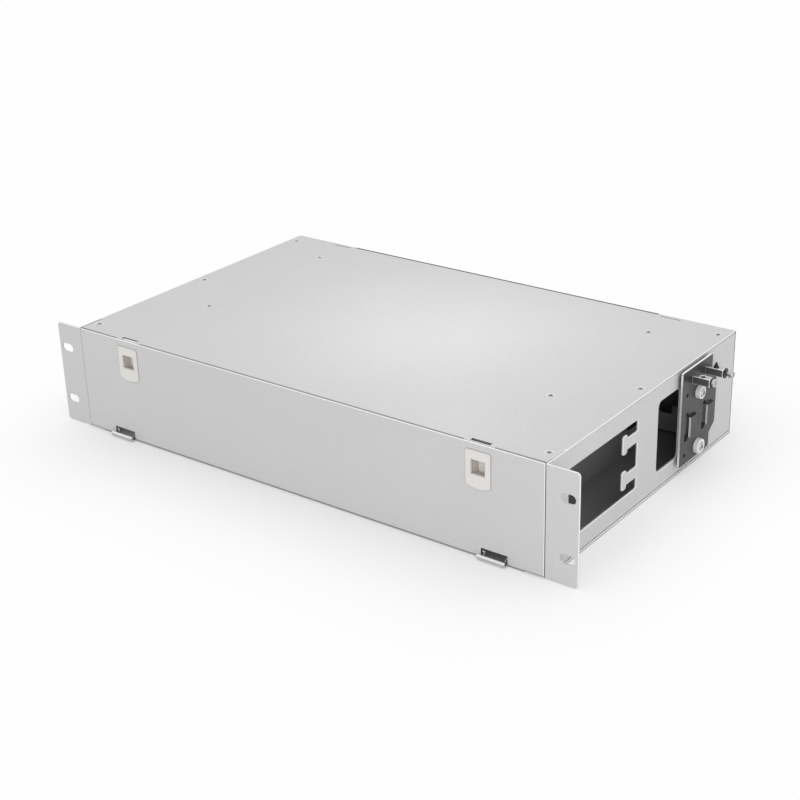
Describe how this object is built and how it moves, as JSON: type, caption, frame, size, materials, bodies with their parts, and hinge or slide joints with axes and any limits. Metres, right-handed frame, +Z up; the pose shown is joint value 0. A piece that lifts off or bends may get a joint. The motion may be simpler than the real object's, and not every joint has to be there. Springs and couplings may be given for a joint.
{
  "type": "fibre distribution panel",
  "caption": "Rack-mounted fibre distribution panel: sheet-metal case with rack ears, flip-down front door with slide latches, adapters, splice trays and a side cable fixing plate.",
  "frame": {"origin": "middle of the four rack slots, on the rear face of the ears, which meets the rack rails", "axes": "+X to the right seen from the front, +Y to the back of the case along the slots' axis, +Z up"},
  "size_m": [0.484, 0.2775, 0.0852],
  "materials": {
    "case_sheet": "light grey, fine-grained satin coat",
    "inner_sheet": "light grey satin coat",
    "plated_steel": "bright zinc plate",
    "black_steel": "black oxide",
    "dark_coat": "dark grey powder coat",
    "latch_plastic": "warm white moulded plastic",
    "white_insulator": "white turned plastic",
    "adapter_blue": "blue moulded plastic",
    "cap_white": "white soft plastic",
    "tray_plastic": "grey moulded plastic",
    "clear_lid": "clear sheet",
    "black_plastic": "black moulded plastic"
  },
  "bodies": {
    "case": {"base_plate": "case_sheet", "left_side_panel": "case_sheet", "right_side_panel": "case_sheet", "top_cover": "case_sheet", "rear_panel": "case_sheet", "cover_edge_screws": "plated_steel", "cover_inner_screws": "plated_steel", "base_screws": "plated_steel", "rear_screws": "plated_steel", "inner_bracket_right": "inner_sheet", "inner_bracket_left": "inner_sheet", "adapter_panel": "inner_sheet", "adapter_panel_screws": "plated_steel", "fibre_adapters": "adapter_blue", "adapter_dust_caps": "cap_white", "splice_tray_lower_left": "tray_plastic", "splice_tray_upper_left": "tray_plastic", "splice_tray_lower_right": "tray_plastic", "splice_tray_upper_right": "tray_plastic", "tray_lid_left": "clear_lid", "tray_lid_right": "clear_lid", "tray_studs": "plated_steel", "tray_thumb_nuts": "black_plastic", "splice_combs": "cap_white", "splice_sleeves": "clear_lid", "bend_guides": "black_plastic", "cable_fixing_plate": "dark_coat", "insulating_bushes": "white_insulator", "insulating_spacers": "white_insulator", "bush_bolts": "plated_steel", "bush_nuts": "plated_steel", "clamp_post_front": "plated_steel", "clamp_post_rear": "plated_steel", "clamp_washers": "black_steel", "clamp_screw_front": "plated_steel", "clamp_screw_rear": "plated_steel", "set_screw_rear": "black_steel"},
    "door": {"front_door": "case_sheet", "hinge_wire_left": "plated_steel", "hinge_wire_right": "plated_steel", "latch_bezel_left": "latch_plastic", "latch_bezel_right": "latch_plastic", "latch_keeper_left": "plated_steel", "latch_keeper_right": "plated_steel"},
    "latch_left": {"latch_slider_left": "latch_plastic"},
    "latch_right": {"latch_slider_right": "latch_plastic"}
  },
  "joints": [
    {"name": "door_hinge", "type": "hinge", "parent": "case", "child": "door", "pos_m": [0, -0.00365, -0.04035], "axis": [1, 0, 0], "range_deg": [0, 90]},
    {"name": "latch_left_slide", "type": "slide", "parent": "door", "child": "latch_left", "axis": [0, 0, 1], "range_m": [0, 0.0024]},
    {"name": "latch_right_slide", "type": "slide", "parent": "door", "child": "latch_right", "axis": [0, 0, 1], "range_m": [0, 0.0024]}
  ]
}
